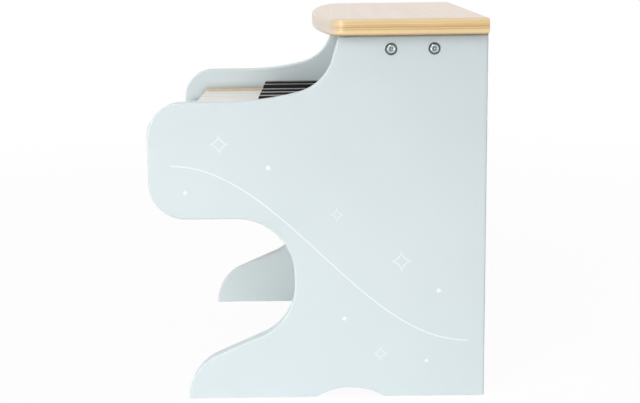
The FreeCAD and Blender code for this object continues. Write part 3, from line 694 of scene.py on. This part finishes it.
def bolt_rings(length):
    """Rings of a bolt from its tip to the pin in its socket: height, radius, lobe depth."""
    tip_length = (1 - SHANK_TIP_SHARE) * SHANK_RADIUS
    rings = [(-length, SHANK_RADIUS * SHANK_TIP_SHARE, 0.0), (tip_length - length, SHANK_RADIUS, 0.0)]
    rings += [(-SEAT_DEPTH, SHANK_RADIUS, 0.0), (-SEAT_DEPTH, HEAD_RADIUS, 0.0)]
    rings += [(DOME_FOOT - HEAD_CHAMFER, HEAD_RADIUS, 0.0), (DOME_FOOT, HEAD_RADIUS - HEAD_CHAMFER, 0.0)]
    rim = SOCKET_RADIUS + 2 * SOCKET_WAVE
    for step in range(DOME_RINGS + 1):
        turn = math.radians(90) * step / DOME_RINGS
        rise = DOME_FOOT + (CROWN_HEIGHT - DOME_FOOT) * math.sin(turn)
        rings.append((rise, rim + (DOME_RADIUS - rim) * math.cos(turn), 0.0))
    rings.append((CROWN_HEIGHT - SOCKET_WAVE / 2, SOCKET_RADIUS, SOCKET_WAVE))
    rings.append((SOCKET_FLOOR, SOCKET_RADIUS * SOCKET_FLOOR_SHARE, SOCKET_WAVE))
    rings.append((SOCKET_FLOOR, PIN_RADIUS, 0.0))
    rings.append((SOCKET_FLOOR + PIN_SHOULDER, PIN_RADIUS * PIN_SHOULDER_SHARE, 0.0))
    return rings


def add_bolt(mesh, side, depth, height, length):
    """One bolt in a mesh, its head on the outer face of a panel."""
    loops = []
    for along, radius, lobe in bolt_rings(length):
        ring = []
        for number in range(BOLT_SEGMENTS):
            turn = 2 * math.pi * number / BOLT_SEGMENTS
            reach = radius + lobe * math.cos(BOLT_LOBES * turn)
            y = depth + reach * math.cos(turn)
            z = height + reach * math.sin(turn)
            ring.append(mesh.verts.new((side * (PANEL_OUTER + along), y, z)))
        loops.append(ring)
    for lower, upper in zip(loops, loops[1:]):
        for number in range(BOLT_SEGMENTS):
            after = (number + 1) % BOLT_SEGMENTS
            mesh.faces.new((lower[number], lower[after], upper[after], upper[number]))
    for ring, along in ((loops[0], -length), (loops[-1], SOCKET_FLOOR + PIN_HEIGHT)):
        tip = mesh.verts.new((side * (PANEL_OUTER + along), depth, height))
        for number in range(BOLT_SEGMENTS):
            mesh.faces.new((ring[number], ring[(number + 1) % BOLT_SEGMENTS], tip))


def side_bolts():
    """The four side bolts with domed heads and six-lobed sockets."""
    low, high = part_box("side_bolts")
    height = (low.z + high.z) / 2
    length = PANEL_OUTER - min(abs(v.co.x) for v in nodes["side_bolts"].data.vertices)
    mesh = bmesh.new()
    for side in (1, -1):
        for depth in (low.y + HEAD_RADIUS, high.y - HEAD_RADIUS):
            add_bolt(mesh, side, depth, height, length)
    bmesh.ops.recalc_face_normals(mesh, faces=mesh.faces[:])
    for face in mesh.faces:
        face.smooth = True
    data = bpy.data.meshes.new("side_bolt_set")
    mesh.to_mesh(data)
    mesh.free()
    data.set_sharp_from_angle(angle=BOLT_SHARP_ANGLE)
    piece = bpy.data.objects.new("side_bolt_set", data)
    bpy.context.scene.collection.objects.link(piece)
    data.materials.append(bolt_zinc())
    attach(piece, "case")
    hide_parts("side_bolts")


# Studio


FLOOR_REACH = 6.0
FLOOR_COLOUR = srgb(247, 247, 246)
FLOOR_NEAR, FLOOR_FAR = 0.45, 1.5
FLOOR_GLOW_NEAR, FLOOR_GLOW_FAR = 0.94, 1.0
ROOM_STRENGTH = 0.265


def seen_rays(tree):
    """One where a ray comes from the camera, a reflection or a clear surface."""
    path = put(tree, "ShaderNodeLightPath")
    seen = math_of(tree, "MAXIMUM", path.outputs["Is Camera Ray"], path.outputs["Is Glossy Ray"])
    return math_of(tree, "MAXIMUM", seen, path.outputs["Is Transmission Ray"])


def studio_room():
    """A white backdrop that lights the piano only softly."""
    world = bpy.data.worlds.new("studio_room")
    bpy.context.scene.world = world
    world.use_nodes = True
    tree = world.node_tree
    tree.nodes.clear()
    light = put(tree, "ShaderNodeBackground", {"Color": WHITE, "Strength": ROOM_STRENGTH})
    backdrop = put(tree, "ShaderNodeBackground", {"Color": WHITE, "Strength": 1.0})
    mix = put(tree, "ShaderNodeMixShader", {"Fac": seen_rays(tree)})
    tree.links.new(light.outputs[0], mix.inputs[1])
    tree.links.new(backdrop.outputs[0], mix.inputs[2])
    put(tree, "ShaderNodeOutputWorld", {"Surface": mix.outputs[0]})


def studio_floor():
    """A pale floor that keeps the piano's shadow and turns white away from it."""
    corners = [(-FLOOR_REACH, -FLOOR_REACH), (FLOOR_REACH, -FLOOR_REACH)]
    corners += [(FLOOR_REACH, FLOOR_REACH), (-FLOOR_REACH, FLOOR_REACH)]
    data = bpy.data.meshes.new("studio_floor")
    data.from_pydata([(x, y, 0.0) for x, y in corners], [], [(0, 1, 2, 3)])
    floor = bpy.data.objects.new("studio_floor", data)
    bpy.context.scene.collection.objects.link(floor)
    material = bpy.data.materials.new("studio_floor")
    material.use_nodes = True
    tree = material.node_tree
    tree.nodes.clear()
    matt = put(tree, "ShaderNodeBsdfDiffuse", {"Color": FLOOR_COLOUR})
    glow = put(tree, "ShaderNodeEmission", {"Color": WHITE, "Strength": 1.0})
    length = put(tree, "ShaderNodeVectorMath", {0: own_place(tree)}, operation="LENGTH")
    away = length.outputs["Value"]
    share = span_of(tree, away, FLOOR_NEAR, FLOOR_FAR, FLOOR_GLOW_NEAR, FLOOR_GLOW_FAR, smooth=True)
    shown = math_of(tree, "MULTIPLY", seen_rays(tree), share)
    mix = put(tree, "ShaderNodeMixShader", {"Fac": shown})
    tree.links.new(matt.outputs[0], mix.inputs[1])
    tree.links.new(glow.outputs[0], mix.inputs[2])
    put(tree, "ShaderNodeOutputMaterial", {"Surface": mix.outputs[0]})
    data.materials.append(material)


# What the lamps point at
MIDDLE = (0.0, 0.0, 0.15)
TREBLE_FOOT = (0.14, 0.0, -0.02)
BASS_AND_BACK = (-0.05, 0.05, 0.08)
# Low strips that stay under the level of the lid, so that its top shows no glare
STRIP_LEVEL, STRIP_HEIGHT, STRIP_SPREAD = 0.16, 0.24, 60.0
FULL_SPREAD = 180.0


def soft_lamp(name, place, aim, width, height, watts, spread=FULL_SPREAD):
    """An area lamp that points from its place to its aim, its beam spread in degrees."""
    data = bpy.data.lights.new(name, "AREA")
    data.shape = "RECTANGLE"
    data.size = width
    data.size_y = height
    data.energy = watts
    data.spread = math.radians(spread)
    lamp = bpy.data.objects.new(name, data)
    lamp.location = place
    lamp.rotation_euler = (Vector(aim) - Vector(place)).to_track_quat("-Z", "Y").to_euler()
    bpy.context.scene.collection.objects.link(lamp)


def square_lamp(name, place, size, watts):
    """A square lamp that points at the middle of the piano."""
    soft_lamp(name, place, MIDDLE, width=size, height=size, watts=watts)


def strip_lamp(name, x, y, aim, width, watts):
    """A low strip at its X and Y."""
    place = (x, y, STRIP_LEVEL)
    soft_lamp(name, place, aim, width=width, height=STRIP_HEIGHT, watts=watts, spread=STRIP_SPREAD)


def studio_lamps():
    """Soft light from above on all sides, and low strips at the treble side and behind."""
    square_lamp("high_lamp", place=(0.75, -0.55, 1.4), size=0.8, watts=9.6)
    strip_lamp("left_lamp", x=1.2, y=-0.56, aim=TREBLE_FOOT, width=0.7, watts=0.9)
    square_lamp("front_lamp", place=(-0.9, -1.4, 0.9), size=1.2, watts=3.5)
    square_lamp("rear_lamp", place=(-0.45, 0.95, 1.85), size=1.4, watts=9.0)
    strip_lamp("low_rear_lamp", x=-0.9, y=1.2, aim=BASS_AND_BACK, width=1.4, watts=1.3)


def studio_camera():
    """The camera of the main view."""
    data = bpy.data.cameras.new("camera")
    data.lens = CAMERA_LENS
    data.sensor_width = CAMERA_SENSOR
    camera = bpy.data.objects.new("camera", data)
    camera.location = CAMERA_PLACE
    aim = (CAMERA_AIM - CAMERA_PLACE).to_track_quat("-Z", "Y")
    camera.rotation_euler = (aim @ Quaternion((0.0, 0.0, 1.0), CAMERA_ROLL)).to_euler()
    bpy.context.scene.collection.objects.link(camera)
    bpy.context.scene.camera = camera


dress_nodes()
side_bolts()
studio_room()
studio_floor()
studio_lamps()
studio_camera()
bpy.context.scene.view_settings.view_transform = "Standard"
